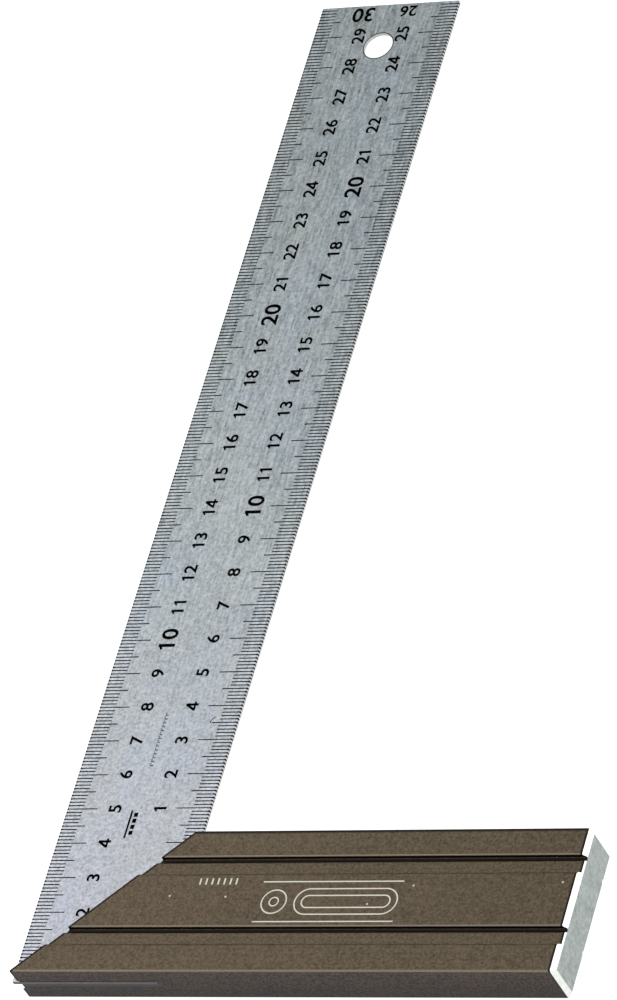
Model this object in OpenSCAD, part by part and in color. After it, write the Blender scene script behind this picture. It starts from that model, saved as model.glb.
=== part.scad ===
// Joiner's try square: a steel rule bonded into a mitred, extruded aluminium stock.
//
// Frame: the square lies flat, +Z up. X runs along the stock, Y along the blade.
// The origin is the outer working corner: the blade's outer edge is x = 0, the
// stock's outer face is y = 0, and the stock's back face, which it rests on, is z = 0.

/* [Blade] */
// Length of the blade along its outer edge
blade_l = 300; // [150:5:600]
// Width of the blade, edge to edge
blade_w = 40; // [25:1:60]
// Thickness of the blade
blade_t = 1.0; // [0.8:0.1:2.5]
// Radius on the two free corners of the blade
blade_corner_r = 0.3; // [0.2:0.1:2]
// Diameter of the hanging hole
hole_d = 8.2; // [4:0.1:12]
// Distance from the blade's free end to the centre of the hanging hole
hole_inset = 13.6; // [8:0.1:30]

/* [Stock] */
// Reach of the stock from the blade's outer edge to its cut end
stock_l = 148; // [100:0.5:300]
// Width of the stock, from the outer to the inner working face
stock_w = 40; // [30:1:60]
// Thickness of the stock, from the back to the front face
stock_t = 12; // [8:0.5:20]
// How far the mitred tip stands back from the blade's outer edge
tip_inset = 1.5; // [0.4:0.1:5]
// Chamfer round the cut end
end_chamfer = 1.1; // [0.5:0.1:2]
// Radius along the four long corners of the extrusion
corner_r = 0.4; // [0.2:0.1:1]

/* [Grip grooves] */
// Width of the flat band along the outer working face
outer_band_w = 7.15; // [5:0.05:9]
// Width of the flat band along the inner working face
inner_band_w = 7.6; // [5:0.05:9]
// Width of the flat floor of a groove
floor_w = 4.6; // [2:0.1:5.5]
// Depth of the groove floor
floor_depth = 0.75; // [0.5:0.05:1.6]
// Radius rolled over the outer side of a groove, up to the depth of its floor
roll_r = 0.75; // [0.4:0.05:1.6]
// Radius of the relief channel at the foot of the upright wall
relief_r = 0.6; // [0.2:0.1:0.8]
// Radius on the lip of the upright wall
lip_r = 0.25; // [0.1:0.05:0.5]

/* [Slot and bond] */
// Thickness of the stock in front of the slot
front_wall = 4.8; // [3.5:0.1:7]
// Thickness of the adhesive between the front of the slot and the blade
front_film = 0.25; // [0.1:0.05:0.6]
// Thickness of the adhesive that packs the slot behind the blade
back_fill = 2.05; // [0.3:0.05:2.5]
// Gap between the blade's inner edge and the end of the slot
slot_end_gap = 0.8; // [0.6:0.1:3]
// Radius in the two inner corners of the slot
slot_corner_r = 1.2; // [0.3:0.1:1.5]
// How far the adhesive stands back from the faces of the stock
bond_recess = 0.2; // [0.1:0.05:0.5]

/* [Hidden] */
$fn = 64;
slot_w = front_film + blade_t + back_fill;
slot_end_x = blade_w + slot_end_gap;
slot_z = stock_t - front_wall - slot_w;
blade_z = slot_z + back_fill;
rolled_r = min(roll_r, floor_depth);
groove_w = floor_w + rolled_r;
hole_y = blade_l - hole_inset;
inner_face_x = tip_inset + stock_w;
// Reach of cutting shapes past the faces that they cut
past = 1;

// What rounding takes off a square corner at the origin that fills +X and +Y.
module corner_waste(r) {
    difference() {
        translate([-past, -past]) square(r + past);
        translate([r, r]) circle(r);
        translate([r, -2 * past]) square([past, r + 3 * past]);
        translate([-2 * past, r]) square([r + 3 * past, past]);
    }
}

// One grip groove cut into a face at v = 0. It starts at u = 0 with the rolled
// side and ends at u = groove_w with the upright wall and its relief channel.
module groove_cut() {
    translate([rolled_r, -floor_depth]) square([floor_w, floor_depth + past]);
    difference() {
        translate([0, -rolled_r]) square([rolled_r, rolled_r + past]);
        translate([0, -rolled_r]) circle(rolled_r);
    }
    translate([groove_w - relief_r, -floor_depth]) circle(relief_r);
    translate([groove_w, 0]) mirror([0, 1]) corner_waste(lip_r);
}

// Both grooves of one face, each past the band along the nearer working face.
module face_grooves() {
    for (u = [outer_band_w, stock_w - inner_band_w - groove_w])
        translate([u, stock_t]) groove_cut();
}

// Cross-section of the extrusion: u runs from the outer to the inner face, v up.
module stock_profile() {
    difference() {
        square([stock_w, stock_t]);
        for (side = [0, 1])
            translate([0, side * stock_t]) mirror([0, side]) {
                corner_waste(corner_r);
                translate([stock_w, 0]) mirror([1, 0]) corner_waste(corner_r);
            }
        face_grooves();
        translate([0, stock_t]) mirror([0, 1]) face_grooves();
    }
}

// Plan of the stock, drawn back by inset from its faces: a 45 degree mitre on the
// left and a chamfered cut end on the right.
module stock_plan(inset, chamfer) {
    mitre_inset = inset * sqrt(2);
    polygon([
        [tip_inset + inset + mitre_inset, inset],
        [stock_l - chamfer, inset],
        [stock_l, inset + chamfer],
        [stock_l, stock_w - inset - chamfer],
        [stock_l - chamfer, stock_w - inset],
        [inner_face_x - inset + mitre_inset, stock_w - inset]
    ]);
}

// The stock seen from the outer face, with the cut end chamfered front and back.
module stock_side() {
    polygon([
        [0, 0],
        [stock_l - end_chamfer, 0],
        [stock_l, end_chamfer],
        [stock_l, stock_t - end_chamfer],
        [stock_l - end_chamfer, stock_t],
        [0, stock_t]
    ]);
}

// Slot that takes the blade: open at the mitre, with rounded corners past the blade.
module slot_cut() {
    translate([0, stock_w + past, slot_z])
        rotate([90, 0, 0]) linear_extrude(stock_w + 2 * past)
            difference() {
                translate([-past, 0]) square([slot_end_x + past, slot_w]);
                translate([slot_end_x, 0]) mirror([1, 0]) corner_waste(slot_corner_r);
                translate([slot_end_x, slot_w]) rotate(180) corner_waste(slot_corner_r);
            }
}

// Extruded stock, mitred on the left, slotted for the blade.
module stock() {
    color([0.38, 0.34, 0.28])
        difference() {
            intersection() {
                rotate([90, 0, 90]) linear_extrude(stock_l) stock_profile();
                linear_extrude(stock_t) stock_plan(0, end_chamfer);
                translate([0, stock_w, 0]) rotate([90, 0, 0]) linear_extrude(stock_w) stock_side();
            }
            slot_cut();
        }
}

// Steel rule with the hanging hole near its free end.
module blade() {
    color([0.74, 0.76, 0.78])
        translate([0, 0, blade_z])
            linear_extrude(blade_t)
                difference() {
                    square([blade_w, blade_l]);
                    translate([0, blade_l]) mirror([0, 1]) corner_waste(blade_corner_r);
                    translate([blade_w, blade_l]) rotate(180) corner_waste(blade_corner_r);
                    translate([blade_w / 2, hole_y]) circle(d = hole_d);
                }
}

// Adhesive that fills the slot in front of, behind and past the inner edge of the blade.
module bond() {
    color([0.45, 0.44, 0.42])
        difference() {
            intersection() {
                slot_cut();
                linear_extrude(stock_t) stock_plan(bond_recess, 0);
            }
            translate([-past, -past, blade_z])
                cube([blade_w + past, stock_w + 2 * past, blade_t]);
        }
}

stock();
blade();
bond();
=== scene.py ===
"""Looks of a joiner's try square: a steel rule bonded into a mitred aluminium stock.

Everything is in metres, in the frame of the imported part: X along the stock, Y along
the rule, +Z out of the front face, and the outer working corner at the origin.
"""

import logging
from dataclasses import dataclass, field
from enum import Enum
from math import pi, radians
from typing import Iterable

import bmesh
import bpy
from mathutils import Matrix, Vector

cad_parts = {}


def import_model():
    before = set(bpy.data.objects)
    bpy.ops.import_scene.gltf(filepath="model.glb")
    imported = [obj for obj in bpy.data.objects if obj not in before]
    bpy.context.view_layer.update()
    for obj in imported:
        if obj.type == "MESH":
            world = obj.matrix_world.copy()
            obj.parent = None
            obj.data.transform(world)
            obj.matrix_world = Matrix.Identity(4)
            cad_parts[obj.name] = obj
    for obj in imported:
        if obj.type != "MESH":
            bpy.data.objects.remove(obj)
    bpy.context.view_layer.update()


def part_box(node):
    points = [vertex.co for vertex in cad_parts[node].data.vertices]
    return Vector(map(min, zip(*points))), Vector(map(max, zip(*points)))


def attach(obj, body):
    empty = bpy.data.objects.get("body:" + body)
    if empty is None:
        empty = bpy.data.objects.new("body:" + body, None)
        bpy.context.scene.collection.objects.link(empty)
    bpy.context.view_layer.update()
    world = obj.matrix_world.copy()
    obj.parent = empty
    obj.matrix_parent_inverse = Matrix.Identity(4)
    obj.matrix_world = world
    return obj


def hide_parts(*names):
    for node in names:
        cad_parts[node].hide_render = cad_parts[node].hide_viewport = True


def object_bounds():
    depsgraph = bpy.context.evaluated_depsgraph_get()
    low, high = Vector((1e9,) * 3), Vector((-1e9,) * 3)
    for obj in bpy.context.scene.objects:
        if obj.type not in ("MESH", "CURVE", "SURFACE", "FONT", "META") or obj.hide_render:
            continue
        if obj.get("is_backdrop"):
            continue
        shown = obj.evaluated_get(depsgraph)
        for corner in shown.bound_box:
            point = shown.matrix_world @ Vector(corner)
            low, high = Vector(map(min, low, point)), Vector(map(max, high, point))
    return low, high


LOG = logging.getLogger("try_square")
MM = 0.001
BODY = "root"
# How far printed marks stand above, and reach below, the face that carries them
MARK_RISE = 0.010 * MM
MARK_SINK = 0.004 * MM
# Shift of every noise pattern, so that no flat face lies where the noise is weakest
OFF_LATTICE = (0.0137, 0.0171, 0.0113)
# Value past which a cell of the speck pattern holds a speck
SPECK_FROM = 0.74
# Angles in degrees past which an edge is softened, and past which it is shaded crisp
SOFTEN_PAST = 28.0
CRISP_PAST = 40.0
# Straight strokes of digits at size 1: centre, length, width and lean in degrees
FLAG_OF_ONE = ((0.165, 0.585), 0.21, 0.10, 38.0)
STROKES_OF_FOUR = (
    ((0.335, 0.345), 0.71, 0.130, 90.0),
    ((0.245, 0.185), 0.50, 0.120, 0.0),
    ((0.185, 0.430), 0.61, 0.125, 58.5),
)

Colour = tuple[float, float, float]
Box = tuple[Vector, Vector]


class Slot(Enum):
    """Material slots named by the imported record."""

    STOCK = "anodised_aluminium"
    RULE = "rule_steel"
    BOND = "adhesive"


class Turn(Enum):
    """Which way a numeral is turned on the rule, in radians about +Z."""

    ALONG = pi / 2
    UNDER_END = pi


# --------------------------------------------------------------------- shader helpers


def rgba(colour: Colour) -> tuple[float, float, float, float]:
    """Returns a colour with full opacity."""
    return (*colour, 1.0)


@dataclass
class NodeBench:
    """Adds and links the nodes of one tree."""

    tree: bpy.types.NodeTree

    def add(self, kind: str, **values: object) -> bpy.types.Node:
        """Adds a node.

        Args:
            kind: The node's class name.
            values: Attributes to set on it.

        Returns:
            The new node.
        """
        node = self.tree.nodes.new(kind)
        for key, value in values.items():
            setattr(node, key, value)
        return node

    def link(self, source: bpy.types.NodeSocket, target: bpy.types.NodeSocket) -> None:
        """Links one socket to another."""
        self.tree.links.new(source, target)

    def math(self, operation: str, *inputs: object) -> bpy.types.NodeSocket:
        """Adds a Math node.

        Args:
            operation: Its operation.
            inputs: Sockets or numbers, in order.

        Returns:
            Its output socket.
        """
        node = self.add("ShaderNodeMath", operation=operation)
        for socket, value in zip(node.inputs, inputs):
            self.feed(socket, value)
        return node.outputs[0]

    def feed(self, socket: bpy.types.NodeSocket, value: object) -> None:
        """Links a socket to value, or sets it to value if that is a constant."""
        if isinstance(value, bpy.types.NodeSocket):
            self.link(value, socket)
        else:
            socket.default_value = value

    def remap(
        self, value: bpy.types.NodeSocket, low: object, high: object, to_low: object, to_high: object
    ) -> bpy.types.NodeSocket:
        """Maps value from low..high to to_low..to_high, clamped, and returns the result."""
        node = self.add("ShaderNodeMapRange")
        for index, item in enumerate((value, low, high, to_low, to_high)):
            self.feed(node.inputs[index], item)
        return node.outputs[0]

    def mix(self, factor: object, a: object, b: object, blend: str = "MIX") -> bpy.types.NodeSocket:
        """Mixes two colours.

        Args:
            factor: Share of b.
            a: First colour or socket.
            b: Second colour or socket.
            blend: Blend type.

        Returns:
            The mixed colour's socket.
        """
        node = self.add("ShaderNodeMix", data_type="RGBA", blend_type=blend)
        for index, item in ((0, factor), (6, a), (7, b)):
            self.feed(node.inputs[index], item)
        return node.outputs[2]


def new_group(
    name: str, inputs: Iterable[tuple[str, str, object]], outputs: Iterable[tuple[str, str]]
) -> tuple[NodeBench, bpy.types.Node, bpy.types.Node]:
    """Starts a shader node group.

    Args:
        name: The group's name.
        inputs: Name, socket type and default of each input.
        outputs: Name and socket type of each output.

    Returns:
        A bench on the group's tree, its input node and its output node.
    """
    tree = bpy.data.node_groups.new(name, "ShaderNodeTree")
    for label, kind, default in inputs:
        socket = tree.interface.new_socket(label, in_out="INPUT", socket_type=kind)
        socket.default_value = default
    for label, kind in outputs:
        tree.interface.new_socket(label, in_out="OUTPUT", socket_type=kind)
    bench = NodeBench(tree)
    return bench, bench.add("NodeGroupInput"), bench.add("NodeGroupOutput")


def off_lattice(bench: NodeBench) -> bpy.types.NodeSocket:
    """Adds the object's own coordinates, shifted off the planes where noise is weakest."""
    place_node = bench.add("ShaderNodeTexCoord")
    moved = bench.add("ShaderNodeVectorMath", operation="ADD")
    bench.link(place_node.outputs["Object"], moved.inputs[0])
    moved.inputs[1].default_value = OFF_LATTICE
    return moved.outputs[0]


def lines_group() -> bpy.types.NodeTree:
    """Builds fine parallel lines, as brushing or drawing leaves them.

    Returns:
        A group with a tone from 0 to 1 for colour and roughness.
    """
    bench, given, result = new_group(
        "drawn_lines",
        [("Across", "NodeSocketVector", (1.0, 1.0, 1.0)), ("Contrast", "NodeSocketFloat", 1.0)],
        [("Tone", "NodeSocketFloat")],
    )
    scale = bench.add("ShaderNodeVectorMath", operation="MULTIPLY")
    bench.link(off_lattice(bench), scale.inputs[0])
    bench.link(given.outputs["Across"], scale.inputs[1])
    noise = bench.add("ShaderNodeTexNoise", noise_dimensions="3D")
    noise.inputs["Scale"].default_value = 1.0
    noise.inputs["Detail"].default_value = 4.0
    noise.inputs["Roughness"].default_value = 0.62
    bench.link(scale.outputs[0], noise.inputs["Vector"])
    centred = bench.math("SUBTRACT", noise.outputs["Fac"], 0.5)
    tone = bench.math("MULTIPLY_ADD", centred, given.outputs["Contrast"], 0.5)
    bench.link(bench.math("MINIMUM", bench.math("MAXIMUM", tone, 0.0), 1.0), result.inputs["Tone"])
    return bench.tree


def mottle_group() -> bpy.types.NodeTree:
    """Builds cloudy patches of two sizes.

    Returns:
        A group with one patch value from 0 to 1.
    """
    bench, given, result = new_group(
        "cloudy_patches",
        [
            ("Large", "NodeSocketFloat", 60.0),
            ("Small", "NodeSocketFloat", 900.0),
            ("Fine Share", "NodeSocketFloat", 0.5),
        ],
        [("Patches", "NodeSocketFloat")],
    )
    shifted = off_lattice(bench)
    sizes = []
    for label in ("Large", "Small"):
        noise = bench.add("ShaderNodeTexNoise", noise_dimensions="3D")
        noise.inputs["Detail"].default_value = 3.0
        bench.link(shifted, noise.inputs["Vector"])
        bench.link(given.outputs[label], noise.inputs["Scale"])
        sizes.append(bench.remap(noise.outputs["Fac"], 0.28, 0.72, 0.0, 1.0))
    blend = bench.add("ShaderNodeMix", data_type="FLOAT")
    bench.link(given.outputs["Fine Share"], blend.inputs[0])
    bench.link(sizes[0], blend.inputs[2])
    bench.link(sizes[1], blend.inputs[3])
    bench.link(blend.outputs[0], result.inputs["Patches"])
    return bench.tree


def speck_group() -> bpy.types.NodeTree:
    """Builds scattered specks of dust and tiny nicks.

    Returns:
        A group with one mask, 1 inside a speck.
    """
    bench, given, result = new_group(
        "stray_specks",
        [("Density", "NodeSocketFloat", 300.0), ("Size", "NodeSocketFloat", 0.08)],
        [("Mask", "NodeSocketFloat")],
    )
    place = bench.add("ShaderNodeTexCoord")
    cells = bench.add("ShaderNodeTexVoronoi", voronoi_dimensions="3D", feature="F1")
    bench.link(place.outputs["Object"], cells.inputs["Vector"])
    bench.link(given.outputs["Density"], cells.inputs["Scale"])
    near = bench.math("LESS_THAN", cells.outputs["Distance"], given.outputs["Size"])
    split = bench.add("ShaderNodeSeparateColor")
    bench.link(cells.outputs["Color"], split.inputs[0])
    chosen = bench.math("GREATER_THAN", split.outputs[0], SPECK_FROM)
    bench.link(bench.math("MULTIPLY", near, chosen), result.inputs["Mask"])
    return bench.tree


@dataclass
class Effects:
    """The shared shader node groups."""

    lines: bpy.types.NodeTree = field(default_factory=lines_group)
    mottle: bpy.types.NodeTree = field(default_factory=mottle_group)
    specks: bpy.types.NodeTree = field(default_factory=speck_group)


def place_group(bench: NodeBench, group: bpy.types.NodeTree, **values: object) -> bpy.types.Node:
    """Places a group in a tree.

    Args:
        bench: Where to put it.
        group: The group.
        values: Its inputs by name, with underscores for spaces.

    Returns:
        The group's node.
    """
    node = bench.add("ShaderNodeGroup", node_tree=group)
    for key, value in values.items():
        bench.feed(node.inputs[key.replace("_", " ")], value)
    return node


def start_material(name: str) -> tuple[bpy.types.Material, NodeBench, bpy.types.Node]:
    """Starts a node material.

    Args:
        name: Its name.

    Returns:
        The material, a bench on its tree and its Principled shader.
    """
    material = bpy.data.materials.new(name)
    material.use_nodes = True
    bench = NodeBench(material.node_tree)
    return material, bench, material.node_tree.nodes["Principled BSDF"]


def add_bump(
    bench: NodeBench, shader: bpy.types.Node, height: bpy.types.NodeSocket, strength: float, depth: float
) -> None:
    """Feeds a shader's normal from a height.

    Args:
        bench: Where to put the bump.
        shader: The shader.
        height: The height's socket.
        strength: Strength of the bump.
        depth: Depth of the bump in metres.
    """
    bump = bench.add("ShaderNodeBump")
    bump.inputs["Strength"].default_value = strength
    bump.inputs["Distance"].default_value = depth
    bench.link(height, bump.inputs["Height"])
    bench.link(bump.outputs[0], shader.inputs["Normal"])


def object_axis(bench: NodeBench, axis: int) -> bpy.types.NodeSocket:
    """Adds the object's own x, y or z coordinate to a tree.

    Args:
        bench: Where to put it.
        axis: 0, 1 or 2.

    Returns:
        The coordinate's socket.
    """
    place_node = bench.add("ShaderNodeTexCoord")
    split = bench.add("ShaderNodeSeparateXYZ")
    bench.link(place_node.outputs["Object"], split.inputs[0])
    return split.outputs[axis]


# --------------------------------------------------------------------------- finishes


@dataclass(frozen=True)
class BrushedSteel:
    """Lengthwise-brushed, satin rule steel, with painted light fading along its length."""

    dark: Colour = (0.09, 0.103, 0.106)
    light: Colour = (0.42, 0.456, 0.466)
    low_tint: Colour = (0.95, 0.89, 0.92)
    warm_patch: Colour = (1.02, 1.0, 0.95)
    cool_patch: Colour = (0.96, 0.99, 1.08)
    margin: float = 4.6 * MM
    margin_lift: float = 1.16
    width: float = 40 * MM
    tint_from: float = 20 * MM
    tint_to: float = 130 * MM
    roughness: float = 0.36
    spread: float = 0.10
    bump: float = 0.10
    bump_depth: float = 0.02 * MM

    def build(self, effects: Effects) -> bpy.types.Material:
        """Builds the material from the shared effects."""
        material, bench, shader = start_material("brushed_steel")
        brush = place_group(bench, effects.lines, Across=(1700.0, 210.0, 900.0), Contrast=2.6)
        cloud = place_group(bench, effects.mottle, Large=45.0, Small=1350.0, Fine_Share=0.85)
        half_cloud = bench.math("MULTIPLY", cloud.outputs[0], 0.5)
        tone = bench.math("MULTIPLY_ADD", brush.outputs[0], 0.5, half_cloud)
        body = bench.mix(tone, rgba(self.dark), rgba(self.light))
        # Painted light: the colour is tinted at the rule's lower end and fades to plain further up, as the
        # light falls along it
        along = bench.remap(object_axis(bench, 1), self.tint_from, self.tint_to, 0.0, 1.0)
        painted_light_along = bench.mix(along, rgba(self.low_tint), rgba((1.0, 1.0, 1.0)))
        patches = place_group(bench, effects.mottle, Large=38.0, Small=160.0, Fine_Share=0.35)
        cast = bench.mix(patches.outputs[0], rgba(self.warm_patch), rgba(self.cool_patch))
        body = bench.mix(1.0, bench.mix(1.0, body, painted_light_along, "MULTIPLY"), cast, "MULTIPLY")
        from_middle = bench.math("ABSOLUTE", bench.math("SUBTRACT", object_axis(bench, 0), self.width / 2))
        inner = self.width / 2 - self.margin
        lift = bench.remap(from_middle, inner, inner + MM, 1.0, self.margin_lift)
        lifted = bench.add("ShaderNodeVectorMath", operation="SCALE")
        bench.link(body, lifted.inputs[0])
        bench.link(lift, lifted.inputs["Scale"])
        bench.link(lifted.outputs[0], shader.inputs["Base Color"])
        smooth, coarse = self.roughness - self.spread, self.roughness + self.spread
        rough = bench.remap(brush.outputs[0], 0.0, 1.0, smooth, coarse)
        bench.link(rough, shader.inputs["Roughness"])
        add_bump(bench, shader, brush.outputs[0], self.bump, self.bump_depth)
        shader.inputs["Metallic"].default_value = 1.0
        return material


@dataclass(frozen=True)
class BronzeAnodised:
    """Satin bronze anodising on a drawn aluminium extrusion.

    Narrow dark outlines are painted along the mitre, sawn, inner and outer back edges,
    and painted shade in the groove channels, with a lighter painted glint left in each.
    A painted highlight runs along the outer front edge and the groove lips. The outer face
    is painted darker as shade, darkest towards its back edge, and its grain is stronger.
    """

    low: Colour
    high: Colour
    tip_x: float
    chamfer: float
    lips: tuple[float, float] = (12.5 * MM, 32.4 * MM)
    dark: Colour = (0.014, 0.010, 0.0055)
    light: Colour = (0.132, 0.102, 0.068)
    worn: Colour = (0.165, 0.135, 0.100)
    stained: Colour = (0.010, 0.0075, 0.006)
    outer_top: Colour = (0.49, 0.40, 0.425)
    outer_foot: Colour = (0.28, 0.22, 0.27)
    speck: Colour = (0.36, 0.32, 0.27)
    outer_fade: float = 0.3 * MM
    outer_grain: tuple[float, float] = (0.36, 0.64)
    stain_width: float = 0.72 * MM
    stain_core: float = 0.6
    inner_spread: float = 0.66
    back_spread: tuple[float, float] = (2.0, 0.7)
    channel: float = 1.25 * MM
    lip_depth: float = 0.3 * MM
    glint_depth: float = 1.02 * MM
    glint_half: float = 0.16 * MM
    glint_gain: float = 3.0
    worn_width: float = 0.42 * MM
    worn_core: float = 0.8
    lip_spread: float = 2.0
    roughness: float = 0.42
    smoother: float = 0.05
    rougher: float = 0.07
    metallic: float = 0.92
    draw_share: float = 0.3
    bump: float = 0.12
    bump_depth: float = 0.02 * MM

    def build(self, effects: Effects) -> bpy.types.Material:
        """Builds the material from the shared effects."""
        material, bench, shader = start_material("bronze_anodised")
        draw = place_group(bench, effects.lines, Across=(18.0, 1800.0, 1800.0), Contrast=1.1)
        cloud = place_group(bench, effects.mottle, Large=55.0, Small=1650.0, Fine_Share=0.88)
        clouds = bench.math("MULTIPLY", cloud.outputs[0], 1.0 - self.draw_share)
        tone = bench.math("MULTIPLY_ADD", draw.outputs[0], self.draw_share, clouds)
        body = bench.mix(tone, rgba(self.dark), rgba(self.light))
        x, y, z = (object_axis(bench, axis) for axis in range(3))
        # The outer face is painted darker as shade, darkest towards its back edge, with a stronger grain
        on_outer = bench.remap(bench.math("SUBTRACT", y, self.low[1]), 0.0, self.outer_fade, 1.0, 0.0)
        rise = bench.remap(z, self.low[2], self.high[2], 0.0, 1.0)
        shade = bench.mix(rise, rgba(self.outer_foot), rgba(self.outer_top))
        strong = bench.remap(tone, *self.outer_grain, 0.0, 1.0)
        grain = bench.mix(strong, rgba(self.dark), rgba(self.light))
        body = bench.mix(on_outer, body, bench.mix(1.0, grain, shade, "MULTIPLY"))
        specks = place_group(bench, effects.specks, Density=200.0, Size=0.060)
        body = bench.mix(specks.outputs[0], body, rgba(self.speck))
        # Painted highlight along the outer front edge and the groove lips
        body = bench.mix(self.add_wear(bench, y, z), body, rgba(self.worn))
        # Painted dark outlines along the mitre, inner, cut-end and outer back edges, and painted shade in
        # the groove channels
        body = bench.mix(self.add_stain(bench, x, y, z), body, rgba(self.stained))
        bench.link(body, shader.inputs["Base Color"])
        smooth, coarse = self.roughness - self.smoother, self.roughness + self.rougher
        rough = bench.remap(tone, 0.0, 1.0, smooth, coarse)
        bench.link(rough, shader.inputs["Roughness"])
        add_bump(bench, shader, cloud.outputs[0], self.bump, self.bump_depth)
        shader.inputs["Metallic"].default_value = self.metallic
        return material

    def add_wear(
        self, bench: NodeBench, y: bpy.types.NodeSocket, z: bpy.types.NodeSocket
    ) -> bpy.types.NodeSocket:
        """Masks the painted highlight along the outer front edge and the lips of the front grooves.

        Args:
            bench: Where to put it.
            y: The object's y coordinate.
            z: The object's z coordinate.

        Returns:
            A mask, 1 where the highlight is painted.
        """
        below = bench.math("SUBTRACT", self.high[2], z)
        edge = bench.math("MAXIMUM", bench.math("SUBTRACT", y, self.low[1]), below)
        for lip in self.lips:
            aside = bench.math("ABSOLUTE", bench.math("SUBTRACT", y, lip + self.worn_width / 2))
            from_side = bench.math("MULTIPLY", aside, self.lip_spread)
            from_face = bench.math("MULTIPLY", below, self.lip_spread)
            edge = bench.math("MINIMUM", edge, bench.math("MAXIMUM", from_side, from_face))
        return bench.remap(edge, self.worn_core * self.worn_width, self.worn_width, 1.0, 0.0)

    def add_stain(
        self, bench: NodeBench, x: bpy.types.NodeSocket, y: bpy.types.NodeSocket, z: bpy.types.NodeSocket
    ) -> bpy.types.NodeSocket:
        """Masks the painted dark outlines along the mitre, inner, cut-end and outer back edges, and the
        painted shade in the groove channels.

        Args:
            bench: Where to put it.
            x: The object's x coordinate.
            y: The object's y coordinate.
            z: The object's z coordinate.

        Returns:
            A mask, 1 where dark outline or shade is painted.
        """
        core = self.stain_core * self.stain_width
        past_mitre = bench.math("SUBTRACT", bench.math("SUBTRACT", x, self.tip_x), y)
        nearest = bench.math("MULTIPLY", past_mitre, 0.5 ** 0.5)
        below = bench.math("SUBTRACT", self.high[2], z)
        inward = bench.math("SUBTRACT", y, self.low[1])
        from_inner = bench.math("MULTIPLY", bench.math("SUBTRACT", self.high[1], y), self.inner_spread)
        sunk = bench.math("MINIMUM", below, inward)
        to_cut = bench.math("SUBTRACT", self.high[0] - self.chamfer, x)
        from_back = bench.math("MULTIPLY", z, self.back_spread[1])
        for gap in (
            bench.math("MAXIMUM", from_inner, below),
            bench.math("ADD", to_cut, sunk),
            bench.math("MULTIPLY_ADD", inward, self.back_spread[0], from_back),
        ):
            nearest = bench.math("MINIMUM", nearest, gap)
        # Painted shade in each groove channel, left clear near the face and along a painted glint
        for lip in self.lips:
            aside = bench.math("ABSOLUTE", bench.math("SUBTRACT", y, lip - self.channel / 2))
            past_channel = bench.math("SUBTRACT", aside, self.channel / 2)
            near_face = bench.math("SUBTRACT", self.lip_depth, below)
            off_glint = bench.math("ABSOLUTE", bench.math("SUBTRACT", below, self.glint_depth))
            inside = bench.math("SUBTRACT", self.glint_half, off_glint)
            in_glint = bench.math("MULTIPLY", inside, self.glint_gain)
            clear = bench.math("MAXIMUM", near_face, in_glint)
            in_channel = bench.math("MAXIMUM", past_channel, clear)
            nearest = bench.math("MINIMUM", nearest, bench.math("ADD", in_channel, core))
        return bench.remap(nearest, core, self.stain_width, 1.0, 0.0)


@dataclass(frozen=True)
class CutAluminium:
    """Bare aluminium where the extrusion was sawn, chamfered or slotted."""

    name: str = "cut_aluminium"
    dark: Colour = (0.22, 0.245, 0.24)
    light: Colour = (0.44, 0.475, 0.465)
    roughness: float = 0.5
    spread: float = 0.06

    def build(self, effects: Effects) -> bpy.types.Material:
        """Builds the material from the shared effects."""
        material, bench, shader = start_material(self.name)
        cloud = place_group(bench, effects.mottle, Large=220.0, Small=900.0, Fine_Share=0.7)
        body = bench.mix(cloud.outputs[0], rgba(self.dark), rgba(self.light))
        bench.link(body, shader.inputs["Base Color"])
        smooth, coarse = self.roughness - self.spread, self.roughness + self.spread
        rough = bench.remap(cloud.outputs[0], 0.0, 1.0, smooth, coarse)
        bench.link(rough, shader.inputs["Roughness"])
        shader.inputs["Metallic"].default_value = 1.0
        return material


@dataclass(frozen=True)
class MottledCoat:
    """A matt, slightly uneven coat, such as adhesive, ink, paint or a floor."""

    name: str
    dark: Colour
    light: Colour
    roughness: float = 0.6
    large: float = 200.0
    small: float = 2400.0
    gloss: float = 0.3
    glow: float = 0.0
    spread: float = 0.05

    def build(self, effects: Effects) -> bpy.types.Material:
        """Builds the material from the shared effects."""
        material, bench, shader = start_material(self.name)
        cloud = place_group(bench, effects.mottle, Large=self.large, Small=self.small, Fine_Share=0.5)
        body = bench.mix(cloud.outputs[0], rgba(self.dark), rgba(self.light))
        bench.link(body, shader.inputs["Base Color"])
        smooth, coarse = self.roughness - self.spread, self.roughness + self.spread
        rough = bench.remap(cloud.outputs[0], 0.0, 1.0, smooth, coarse)
        bench.link(rough, shader.inputs["Roughness"])
        shader.inputs["Specular IOR Level"].default_value = self.gloss
        shader.inputs["Emission Color"].default_value = (1.0, 1.0, 1.0, 1.0)
        shader.inputs["Emission Strength"].default_value = self.glow
        return material


# ------------------------------------------------------------------------ mesh helpers


def finish_object(
    name: str, mesh_work: bmesh.types.BMesh, materials: list[bpy.types.Material]
) -> bpy.types.Object:
    """Turns a bmesh into a linked object at the origin.

    Args:
        name: The object's name.
        mesh_work: The bmesh, which is freed.
        materials: Its materials, in slot order.

    Returns:
        The new object.
    """
    mesh = bpy.data.meshes.new(name)
    mesh_work.to_mesh(mesh)
    mesh_work.free()
    for material in materials:
        mesh.materials.append(material)
    piece = bpy.data.objects.new(name, mesh)
    bpy.context.scene.collection.objects.link(piece)
    return piece


def add_block(work: bmesh.types.BMesh, centre: Vector, size: Vector) -> None:
    """Adds a rectangular block to a bmesh, from its centre and its size."""
    matrix = Matrix.Translation(centre) @ Matrix.Diagonal((*size, 1.0))
    bmesh.ops.create_cube(work, size=1.0, matrix=matrix)


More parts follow.
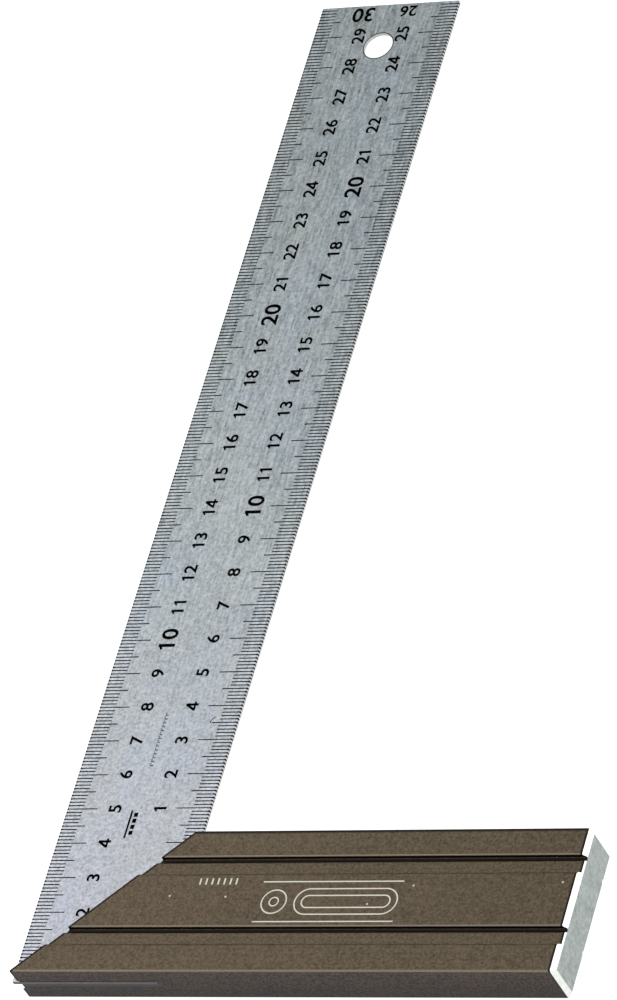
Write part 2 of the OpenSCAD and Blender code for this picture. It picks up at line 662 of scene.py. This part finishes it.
def add_plate(
    work: bmesh.types.BMesh, low: tuple[float, float], high: tuple[float, float], top: float
) -> None:
    """Adds one thin rectangular mark to a bmesh.

    Args:
        work: The bmesh.
        low: Its lowest x and y.
        high: Its highest x and y.
        top: Height of the face that carries it.
    """
    size = Vector((high[0] - low[0], high[1] - low[1], MARK_RISE + MARK_SINK))
    middle = top + (MARK_RISE - MARK_SINK) / 2
    add_block(work, Vector(((high[0] + low[0]) / 2, (high[1] + low[1]) / 2, middle)), size)


def add_arc(
    work: bmesh.types.BMesh,
    centre: Vector,
    radius: float,
    width: float,
    start: float,
    sweep: float,
    steps: int,
) -> None:
    """Spins a thin square section into an arc or a ring.

    Args:
        work: The bmesh.
        centre: Centre of the arc, on the face that carries it.
        radius: Mean radius.
        width: Width of the line.
        start: Angle where it starts.
        sweep: Angle that it covers, 2 pi for a ring.
        steps: Number of steps.
    """
    whole = abs(sweep - 2 * pi) < 1e-6
    half = width / 2
    corners = ((-half, -MARK_SINK), (half, -MARK_SINK), (half, MARK_RISE), (-half, MARK_RISE))
    turn = Matrix.Rotation(start, 4, "Z")
    verts = [work.verts.new(centre + turn @ Vector((radius + out, 0.0, up))) for out, up in corners]
    section = work.faces.new(verts)
    bmesh.ops.spin(
        work, geom=[section, *section.edges, *section.verts], cent=centre, axis=(0.0, 0.0, 1.0),
        angle=sweep, steps=steps, use_merge=whole,
    )


def cad_shell(node: str, edge: float, sharp: float = SOFTEN_PAST) -> bmesh.types.BMesh:
    """Copies a CAD node's mesh, merges it and softens its crisp outer edges.

    Args:
        node: The CAD node.
        edge: Width of the softened edge.
        sharp: Angle in degrees past which an edge counts as crisp.

    Returns:
        The new bmesh.
    """
    work = bmesh.new()
    work.from_mesh(bpy.data.objects[node].data)
    bmesh.ops.remove_doubles(work, verts=work.verts, dist=0.002 * MM)
    bmesh.ops.dissolve_limit(
        work, angle_limit=radians(0.4), verts=work.verts, edges=work.edges, delimit={"NORMAL"}
    )
    crisp = [e for e in work.edges if e.is_manifold and e.is_convex and e.calc_face_angle() > radians(sharp)]
    soften(work, crisp, edge)
    return work


def soften(work: bmesh.types.BMesh, edges: list[bmesh.types.BMEdge], width: float) -> None:
    """Bevels some edges of a bmesh to a width."""
    bmesh.ops.bevel(
        work, geom=edges, offset=width, offset_type="OFFSET", segments=2, profile=0.5,
        affect="EDGES", clamp_overlap=True, material=-1,
    )


def smooth_by_area(piece: bpy.types.Object, sharp: float = CRISP_PAST) -> None:
    """Shades a piece smooth, with crisp edges kept and flat faces held flat.

    Args:
        piece: The object.
        sharp: Angle in degrees past which an edge stays crisp.
    """
    work = bmesh.new()
    work.from_mesh(piece.data)
    for face in work.faces:
        face.smooth = True
    for edge in work.edges:
        edge.smooth = not (edge.is_manifold and edge.calc_face_angle() > radians(sharp))
    work.to_mesh(piece.data)
    work.free()
    modifier = piece.modifiers.new("flat_faces", "WEIGHTED_NORMAL")
    modifier.keep_sharp = True


# -------------------------------------------------------------------------- assemblies


@dataclass
class Stock:
    """The bronze-anodised extrusion, with bare metal where it was cut."""

    box: Box
    slot_box: Box
    chamfer: float = 1.1 * MM
    edge: float = 0.06 * MM
    room: float = 0.05 * MM

    def is_end_cut(self, face: bmesh.types.BMFace) -> bool:
        """Returns whether a face belongs to the sawn and chamfered end."""
        past_chamfer = face.calc_center_median().x > self.box[1].x - self.chamfer - self.room
        return past_chamfer and face.normal.x > 0.3

    def is_bright(self, face: bmesh.types.BMFace) -> bool:
        """Returns whether a face belongs to the chamfers round the cut end, which carry a painted highlight.
        """
        return self.is_end_cut(face) and face.normal.x < 0.95

    def is_mitre_or_slot(self, face: bmesh.types.BMFace) -> bool:
        """Returns whether a face belongs to the mitre or to the walls of the slot."""
        centre = face.calc_center_median()
        low, high = self.slot_box
        beside = 20 * self.room
        inside = all(low[i] - beside <= centre[i] <= high[i] + beside for i in (0, 1))
        level = low.z - self.room <= centre.z <= high.z + self.room
        walls = inside and level and abs(face.normal.y) < 0.9
        return face.normal.dot(Vector((-1.0, 1.0, 0.0)).normalized()) > 0.9 or walls

    def build(
        self, bronze: bpy.types.Material, cut: bpy.types.Material, highlit_chamfer: bpy.types.Material
    ) -> bpy.types.Object:
        """Builds the stock.

        Args:
            bronze: Finish of the extrusion's faces.
            cut: Finish of the sawn faces.
            highlit_chamfer: Finish of the chamfers.

        Returns:
            The piece.
        """
        work = cad_shell("stock", self.edge)
        for face in work.faces:
            # The chamfers take a lighter copy of the cut finish, bare aluminium with a painted highlight
            if self.is_bright(face):
                face.material_index = 2
            elif self.is_end_cut(face) or self.is_mitre_or_slot(face):
                face.material_index = 1
            else:
                face.material_index = 0
        piece = finish_object("stock_extrusion", work, [bronze, cut, highlit_chamfer])
        smooth_by_area(piece)
        return piece


@dataclass
class Rule:
    """The brushed steel rule."""

    box: Box
    edge: float = 0.05 * MM

    def finish_of(self, face: bmesh.types.BMFace) -> int:
        """Returns a face's material slot: 0 for faces, 1 for free edges, 2 for the bonded end."""
        if abs(face.normal.z) > 0.5:
            return 0
        # The bonded end in the slot takes a dark finish, as painted shade
        return 2 if face.calc_center_median().y < self.box[0].y + self.edge else 1

    def build(
        self, steel: bpy.types.Material, ground: bpy.types.Material, stained: bpy.types.Material
    ) -> bpy.types.Object:
        """Builds the rule.

        Args:
            steel: Finish of its two faces.
            ground: Finish of its free edges.
            stained: Finish of the bonded end.

        Returns:
            The piece.
        """
        work = cad_shell("blade", self.edge)
        for face in work.faces:
            face.material_index = self.finish_of(face)
        piece = finish_object("steel_rule", work, [steel, ground, stained])
        smooth_by_area(piece)
        return piece


@dataclass
class Bond:
    """The adhesive that packs the slot."""

    edge: float = 0.12 * MM

    def build(self, adhesive: bpy.types.Material) -> bpy.types.Object:
        """Builds the bond in its adhesive finish."""
        piece = finish_object("slot_adhesive", cad_shell("bond", self.edge), [adhesive])
        smooth_by_area(piece)
        return piece


@dataclass
class Digits:
    """Plain digits, made once each and placed many times.

    The 1 takes a longer flag and the 4 is built from three straight strokes.
    """

    top: float
    resolution: int = 3
    advance: float = 0.5
    cap: float = 0.69
    embolden: float = 0.020
    made: dict[str, bpy.types.Mesh] = field(default_factory=dict)

    def shape(self, digit: str) -> bpy.types.Mesh:
        """Returns a digit's mesh at size 1, making it the first time."""
        if digit not in self.made:
            curve = bpy.data.curves.new("digit", "FONT")
            curve.body, curve.size, curve.resolution_u = digit, 1.0, self.resolution
            curve.extrude, curve.offset = 0.5, self.embolden
            holder = bpy.data.objects.new("digit", curve)
            bpy.context.scene.collection.objects.link(holder)
            bpy.context.view_layer.update()
            ready = holder.evaluated_get(bpy.context.evaluated_depsgraph_get())
            work = bmesh.new()
            work.from_mesh(bpy.data.meshes.new_from_object(ready))
            bmesh.ops.remove_doubles(work, verts=work.verts, dist=1e-4)
            if digit == "1":
                self.add_bar(work, *FLAG_OF_ONE)
            if digit == "4":
                bmesh.ops.delete(work, geom=work.verts[:], context="VERTS")
                for stroke in STROKES_OF_FOUR:
                    self.add_bar(work, *stroke)
            mesh = bpy.data.meshes.new("digit_shape")
            work.to_mesh(mesh)
            work.free()
            bpy.data.objects.remove(holder)
            bpy.data.curves.remove(curve)
            self.made[digit] = mesh
        return self.made[digit]

    @staticmethod
    def add_bar(
        work: bmesh.types.BMesh, centre: tuple[float, float], length: float, width: float, lean_deg: float
    ) -> None:
        """Adds one straight stroke of a digit.

        Args:
            work: The digit's bmesh.
            centre: Middle of the stroke.
            length: Its length.
            width: Its width.
            lean_deg: Its angle from the reading direction.
        """
        lean = Matrix.Rotation(radians(lean_deg), 4, "Z")
        size = Matrix.Diagonal((length, width, 1.0, 1.0))
        bmesh.ops.create_cube(work, size=1.0, matrix=Matrix.Translation((*centre, 0.0)) @ lean @ size)

    def write(
        self,
        work: bmesh.types.BMesh,
        number: int,
        centre: tuple[float, float],
        height: float,
        turn: Turn,
        widen: float,
    ) -> None:
        """Writes a number centred on a point.

        Args:
            work: The bmesh that takes it.
            number: The number.
            centre: Its centre, x and y.
            height: Height of its digits.
            turn: Which way it reads.
            widen: Width factor of its digits.
        """
        text = str(number)
        size = height / self.cap
        thick = MARK_RISE + MARK_SINK
        middle = self.top + (MARK_RISE - MARK_SINK) / 2
        base = Matrix.Translation((centre[0], centre[1], middle)) @ Matrix.Rotation(turn.value, 4, "Z")
        scale = Matrix.Diagonal((size * widen, size, thick, 1.0))
        for place, digit in enumerate(text):
            shift = (place - len(text) / 2) * self.advance
            move = base @ scale @ Matrix.Translation((shift, -self.cap / 2, 0.0))
            before = len(work.verts)
            work.from_mesh(self.shape(digit))
            work.verts.ensure_lookup_table()
            bmesh.ops.transform(work, matrix=move, verts=work.verts[before:])


@dataclass
class Scale:
    """One millimetre scale of the rule, read from one of its long edges.

    Its fields are the edge's x, the direction inwards, the y of its zero, its last
    millimetre, the x of its numerals, the lengths and widths of its ticks, how far
    they start from the edge, and the size of the nick at the edge.
    """

    edge_x: float
    inward: float
    zero_y: float
    last: int
    numeral_x: float
    tick_mm: float
    tick_half: float
    tick_cm: float
    line: float = 0.31 * MM
    line_cm: float = 0.29 * MM
    start: float = 0.06 * MM
    notch: tuple[float, float, float] = (0.45 * MM, 0.46 * MM, 0.60 * MM)

    def reach(self, millimetre: int) -> float:
        """Returns the length of the tick at a millimetre."""
        if millimetre % 10 == 0:
            return self.tick_cm
        return self.tick_half if millimetre % 5 == 0 else self.tick_mm

    def add_ticks(self, work: bmesh.types.BMesh, top: float, first: int) -> None:
        """Adds every tick from a first millimetre up.

        Args:
            work: The bmesh that takes them.
            top: Height of the rule's face.
            first: The first millimetre.
        """
        for millimetre in range(first, self.last):
            width = self.line_cm if millimetre % 10 == 0 else self.line
            y = self.zero_y + millimetre * MM
            near = self.edge_x + self.inward * self.start
            ends = sorted((near, self.edge_x + self.inward * self.reach(millimetre)))
            add_plate(work, (ends[0], y - width / 2), (ends[1], y + width / 2), top)
            self.add_notch(work, top, y)

    def add_notch(self, work: bmesh.types.BMesh, top: float, y: float) -> None:
        """Adds the nick that a tick leaves at the very edge and a little way down the wall.

        Args:
            work: The bmesh that takes it.
            top: Height of the rule's face.
            y: Where the tick is.
        """
        size = Vector(self.notch)
        across = self.edge_x + self.inward * (size.x / 2 - MARK_RISE)
        add_block(work, Vector((across, y, top + MARK_RISE - size.z / 2)), size)


@dataclass
class Markings:
    """The scales, numerals and small plain marks printed on the rule."""

    rule_box: Box
    stock_box: Box
    stock_width: float
    small: float = 3.35 * MM
    large: float = 4.35 * MM
    widen: float = 1.08
    end_widen: float = 1.05
    end_large: tuple[float, float] = (12.8 * MM, 3.0 * MM)
    end_small: tuple[float, float] = (25.8 * MM, 2.6 * MM)
    bar_low: tuple[float, float] = (18.2 * MM, 41.4 * MM)
    bar_high: tuple[float, float] = (18.75 * MM, 49.4 * MM)
    blocks: int = 4
    scratch: tuple[float, float] = (34.6 * MM, 74.8 * MM)
    hole: tuple[float, float, float] = (20 * MM, 13.6 * MM, 4.1 * MM)
    burr: float = 0.26 * MM
    dashes: int = 14

    def __post_init__(self) -> None:
        """Works out both scales from the rule's and the stock's boxes."""
        low, high = self.rule_box
        self.top = high.z
        length = round((high.y - low.y) / MM)
        inner_length = round((high.y - self.stock_width) / MM)
        self.outer = Scale(
            edge_x=low.x, inward=1.0, zero_y=low.y, last=length, numeral_x=13.4 * MM,
            tick_mm=4.5 * MM, tick_half=6.5 * MM, tick_cm=8.4 * MM,
        )
        self.inner = Scale(
            edge_x=high.x, inward=-1.0, zero_y=self.stock_width, last=inner_length, numeral_x=26.0 * MM,
            tick_mm=5.0 * MM, tick_half=7.0 * MM, tick_cm=9.4 * MM,
        )

    def clear_of_stock(self, work: bmesh.types.BMesh) -> None:
        """Cuts off what would lie inside the stock, behind its mitre."""
        tip = Vector((self.stock_box[0].x, 0.0, 0.0))
        everything = [*work.verts, *work.edges, *work.faces]
        bmesh.ops.bisect_plane(
            work, geom=everything, plane_co=tip, plane_no=(1.0, -1.0, 0.0), clear_outer=True, dist=1e-7
        )
        rim = [e for e in work.edges if e.is_boundary]
        bmesh.ops.holes_fill(work, edges=rim, sides=0)

    def build_ticks(self, ink: bpy.types.Material) -> bpy.types.Object:
        """Builds the ticks of both scales."""
        work = bmesh.new()
        self.outer.add_ticks(work, self.top, 2)
        self.inner.add_ticks(work, self.top, 0)
        self.clear_of_stock(work)
        return finish_object("scale_ticks", work, [ink])

    def build_numerals(self, ink: bpy.types.Material) -> bpy.types.Object:
        """Builds the numerals of both scales."""
        work = bmesh.new()
        digits = Digits(self.top)
        for scale in (self.outer, self.inner):
            last_cm = scale.last // 10
            for number in range(1, last_cm):
                height = self.large if number % 10 == 0 else self.small
                place = (scale.numeral_x, scale.zero_y + number * 10 * MM)
                digits.write(work, number, place, height, Turn.ALONG, self.widen)
        end = self.rule_box[1].y
        for scale, (x, back), height in (
            (self.outer, self.end_large, self.large),
            (self.inner, self.end_small, self.small),
        ):
            digits.write(work, scale.last // 10, (x, end - back), height, Turn.UNDER_END, self.end_widen)
        self.clear_of_stock(work)
        return finish_object("scale_numerals", work, [ink])

    def build_plain_marks(self, ink: bpy.types.Material) -> bpy.types.Object:
        """Builds the bar, blocks and scratch near the stock, and a dark ring round the hanging hole, painted
        as shade on its rim.
        """
        work = bmesh.new()
        add_plate(work, self.bar_low, self.bar_high, self.top)
        for index in range(self.blocks):
            start = (42.3 + 1.75 * index) * MM
            add_plate(work, (19.25 * MM, start), (20.35 * MM, start + 1.2 * MM), self.top)
        scratch = Vector((*self.scratch, self.top))
        add_arc(work, scratch, 2.1 * MM, 0.22 * MM, radians(120), radians(58), 8)
        hole = Vector((self.hole[0], self.rule_box[1].y - self.hole[1], self.top))
        # A dark ring round the hanging hole, painted as shade on its rim
        add_arc(work, hole, self.hole[2] + self.burr / 2, self.burr, 0.0, 2 * pi, 64)
        return finish_object("plain_marks", work, [ink])

    def build_dashes(self, faint_ink: bpy.types.Material) -> bpy.types.Object:
        """Builds the faint broken line along the middle of the rule."""
        work = bmesh.new()
        for index in range(self.dashes):
            start = (62.4 + 1.14 * index) * MM
            add_plate(work, (19.3 * MM, start), (20.2 * MM, start + 0.34 * MM), self.top)
            add_plate(work, (19.3 * MM, start + 0.5 * MM), (19.65 * MM, start + 0.85 * MM), self.top)
        return finish_object("faint_dashes", work, [faint_ink])


@dataclass
class StockMark:
    """A plain printed panel on the stock.

    It has two lines, a double ring, a double frame with round ends and a row of strokes.
    """

    top: float
    line: float = 0.34 * MM
    left: float = 64.1 * MM
    right: float = 101.9 * MM
    low_y: float = 13.9 * MM
    high_y: float = 25.2 * MM
    ring_x: float = 68.4 * MM
    ring_radii: tuple[float, float] = (3.3 * MM, 1.2 * MM)
    ring_steps: tuple[int, int] = (48, 32)
    frame_left: float = 77.6 * MM
    frame_right: float = 97.9 * MM
    frame_radii: tuple[float, float] = (3.6 * MM, 1.7 * MM)
    strokes: int = 7
    strokes_x: float = 46.6 * MM
    strokes_y: tuple[float, float] = (24.5 * MM, 26.3 * MM)
    stroke_pitch: float = 1.65 * MM

    def build(self, paint: bpy.types.Material) -> bpy.types.Object:
        """Builds the panel in its paint."""
        work = bmesh.new()
        for y in (self.low_y, self.high_y):
            add_plate(work, (self.left, y - self.line / 2), (self.right, y + self.line / 2), self.top)
        middle = (self.low_y + self.high_y) / 2
        for radius, steps in zip(self.ring_radii, self.ring_steps):
            centre = Vector((self.ring_x, middle, self.top))
            add_arc(work, centre, radius, self.line, 0.0, 2 * pi, steps)
        for radius in self.frame_radii:
            self.add_frame(work, self.frame_left, self.frame_right, middle, radius)
        low, high = self.strokes_y
        for index in range(self.strokes):
            left = self.strokes_x + index * self.stroke_pitch
            add_plate(work, (left, low), (left + self.stroke_pitch / 4, high), self.top)
        return finish_object("stock_panel", work, [paint])

    def add_frame(
        self, work: bmesh.types.BMesh, left: float, right: float, middle: float, radius: float
    ) -> None:
        """Adds a long frame with round ends.

        Args:
            work: The bmesh that takes it.
            left: x of its left centre.
            right: x of its right centre.
            middle: y of its middle.
            radius: Radius of its ends.
        """
        add_arc(work, Vector((left, middle, self.top)), radius, self.line, pi / 2, pi, 24)
        add_arc(work, Vector((right, middle, self.top)), radius, self.line, -pi / 2, pi, 24)
        for side in (-1, 1):
            y = middle + side * radius
            add_plate(work, (left, y - self.line / 2), (right, y + self.line / 2), self.top)


@dataclass(frozen=True)
class Softbox:
    """One soft rectangular light: where it stands, what it faces, its size, watts and colour."""

    name: str
    place: tuple[float, float, float]
    aim: tuple[float, float, float]
    size: tuple[float, float]
    power: float
    colour: Colour

    def light(self) -> None:
        """Adds the light to the scene."""
        data = bpy.data.lights.new(self.name, "AREA")
        data.shape, data.size, data.size_y = "RECTANGLE", self.size[0], self.size[1]
        data.energy, data.color = self.power, self.colour
        light = bpy.data.objects.new(self.name, data)
        light.location = self.place
        facing = Vector(self.aim) - Vector(self.place)
        light.rotation_euler = facing.to_track_quat("-Z", "Y").to_euler()
        bpy.context.scene.collection.objects.link(light)


SOFTBOXES = (
    Softbox("overhead", (-0.70, 0.52, 1.12), (0.05, 0.08, 0.0), (0.55, 0.45), 2.8, (1.0, 0.965, 1.0)),
    Softbox("side", (1.10, 0.75, 0.62), (0.07, 0.12, 0.0), (0.7, 0.7), 4.0, (1.0, 1.0, 1.0)),
    Softbox("front", (-0.50, -0.86, 0.63), (0.07, 0.12, 0.0), (0.45, 0.30), 2.2, (1.0, 0.96, 1.0)),
)


@dataclass
class Studio:
    """The floor, the soft lights and the camera."""

    lens: float = 290.83
    eye: tuple[float, float, float] = (0.98126, -0.90342, 1.44031)
    turn_deg: tuple[float, float, float] = (38.9638, 23.3354, 15.8930)
    sensor: float = 36.0
    clip: tuple[float, float] = (0.05, 20.0)
    half_floor: float = 4.0
    floor_gap: float = 0.02 * MM
    surround: Colour = (0.93, 0.96, 0.94)
    surround_strength: float = 0.98

    def add_camera(self) -> None:
        """Adds the camera and makes it the scene's."""
        data = bpy.data.cameras.new("camera")
        data.lens, data.sensor_width = self.lens, self.sensor
        data.clip_start, data.clip_end = self.clip
        camera = bpy.data.objects.new("camera", data)
        camera.location = self.eye
        camera.rotation_euler = tuple(radians(a) for a in self.turn_deg)
        bpy.context.scene.collection.objects.link(camera)
        bpy.context.scene.camera = camera

    def add_floor(self, coat: bpy.types.Material) -> None:
        """Adds the pale floor, just under the object."""
        work = bmesh.new()
        lowered = Matrix.Translation((0.0, 0.0, -self.floor_gap))
        bmesh.ops.create_grid(work, x_segments=1, y_segments=1, size=self.half_floor, matrix=lowered)
        finish_object("floor", work, [coat])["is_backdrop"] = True

    def add_lights(self) -> None:
        """Adds the soft surround and the three softboxes."""
        world = bpy.data.worlds.new("surround")
        world.use_nodes = True
        backdrop = world.node_tree.nodes["Background"]
        backdrop.inputs["Color"].default_value = rgba(self.surround)
        backdrop.inputs["Strength"].default_value = self.surround_strength
        bpy.context.scene.world = world
        for softbox in SOFTBOXES:
            softbox.light()


# -------------------------------------------------------------------------------- main


def place(piece: bpy.types.Object, slot: Slot, node: str | None = None) -> None:
    """Puts a finished piece on the body, hides the CAD node that it stands for, if any, and logs its slot.

    Args:
        piece: The piece.
        slot: Its material slot.
        node: The CAD node that it replaces, if any.
    """
    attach(piece, BODY)
    if node:
        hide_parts(node)
    LOG.info("%s: %d faces, slot %s", piece.name, len(piece.data.polygons), slot.value)


def main() -> None:
    """Builds the try square and its studio, and reports each piece."""
    logging.basicConfig(level=logging.INFO, format="%(name)s: %(message)s")
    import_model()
    bpy.context.scene.view_settings.view_transform = "Standard"
    effects = Effects()
    steel = BrushedSteel().build(effects)
    ground = CutAluminium("ground_edge", (0.42, 0.42, 0.42), (0.55, 0.55, 0.54), 0.40).build(effects)
    # A dark finish for the rule's bonded end, as painted shade in the slot
    stained = CutAluminium("bonded_end_painted_shade", (0.070, 0.064, 0.062), (0.125, 0.116, 0.112), 0.5).build(effects)
    cut = CutAluminium().build(effects)
    # The chamfers are bare aluminium, lit up with a painted highlight
    highlit_chamfer = CutAluminium("chamfer_painted_highlight", (0.62, 0.63, 0.60), (0.80, 0.81, 0.78), 0.42).build(effects)
    adhesive = MottledCoat(
        "cured_adhesive", (0.026, 0.022, 0.023), (0.046, 0.039, 0.041), roughness=0.5, gloss=0.15
    ).build(effects)
    ink = MottledCoat(
        "black_ink", (0.0006, 0.0006, 0.0008), (0.002, 0.002, 0.0025), roughness=0.7, gloss=0.0
    ).build(effects)
    faint = MottledCoat(
        "worn_ink", (0.04, 0.04, 0.045), (0.09, 0.09, 0.095), roughness=0.6, gloss=0.1
    ).build(effects)
    paint = MottledCoat("pale_print", (0.50, 0.48, 0.42), (0.66, 0.64, 0.58), roughness=0.6).build(effects)
    floor_coat = MottledCoat(
        "pale_floor", (0.38, 0.38, 0.38), (0.42, 0.42, 0.42),
        roughness=0.8, large=2.0, small=30.0, gloss=0.1, glow=0.88,
    )
    stock_box, rule_box, bond_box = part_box("stock"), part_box("blade"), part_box("bond")
    stock = Stock(stock_box, bond_box)
    low, high = stock_box
    bronze = BronzeAnodised(tuple(low), tuple(high), low.x, stock.chamfer).build(effects)

    place(stock.build(bronze, cut, highlit_chamfer), Slot.STOCK, "stock")
    place(Rule(rule_box).build(steel, ground, stained), Slot.RULE, "blade")
    place(Bond().build(adhesive), Slot.BOND, "bond")
    markings = Markings(rule_box, stock_box, stock_box[1].y)
    for piece in (
        markings.build_ticks(ink), markings.build_numerals(ink),
        markings.build_plain_marks(ink), markings.build_dashes(faint),
    ):
        place(piece, Slot.RULE)
    place(StockMark(stock_box[1].z).build(paint), Slot.STOCK)

    studio = Studio()
    studio.add_floor(floor_coat.build(effects))
    studio.add_lights()
    studio.add_camera()
    low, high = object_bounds()


if __name__ == "__main__":
    main()
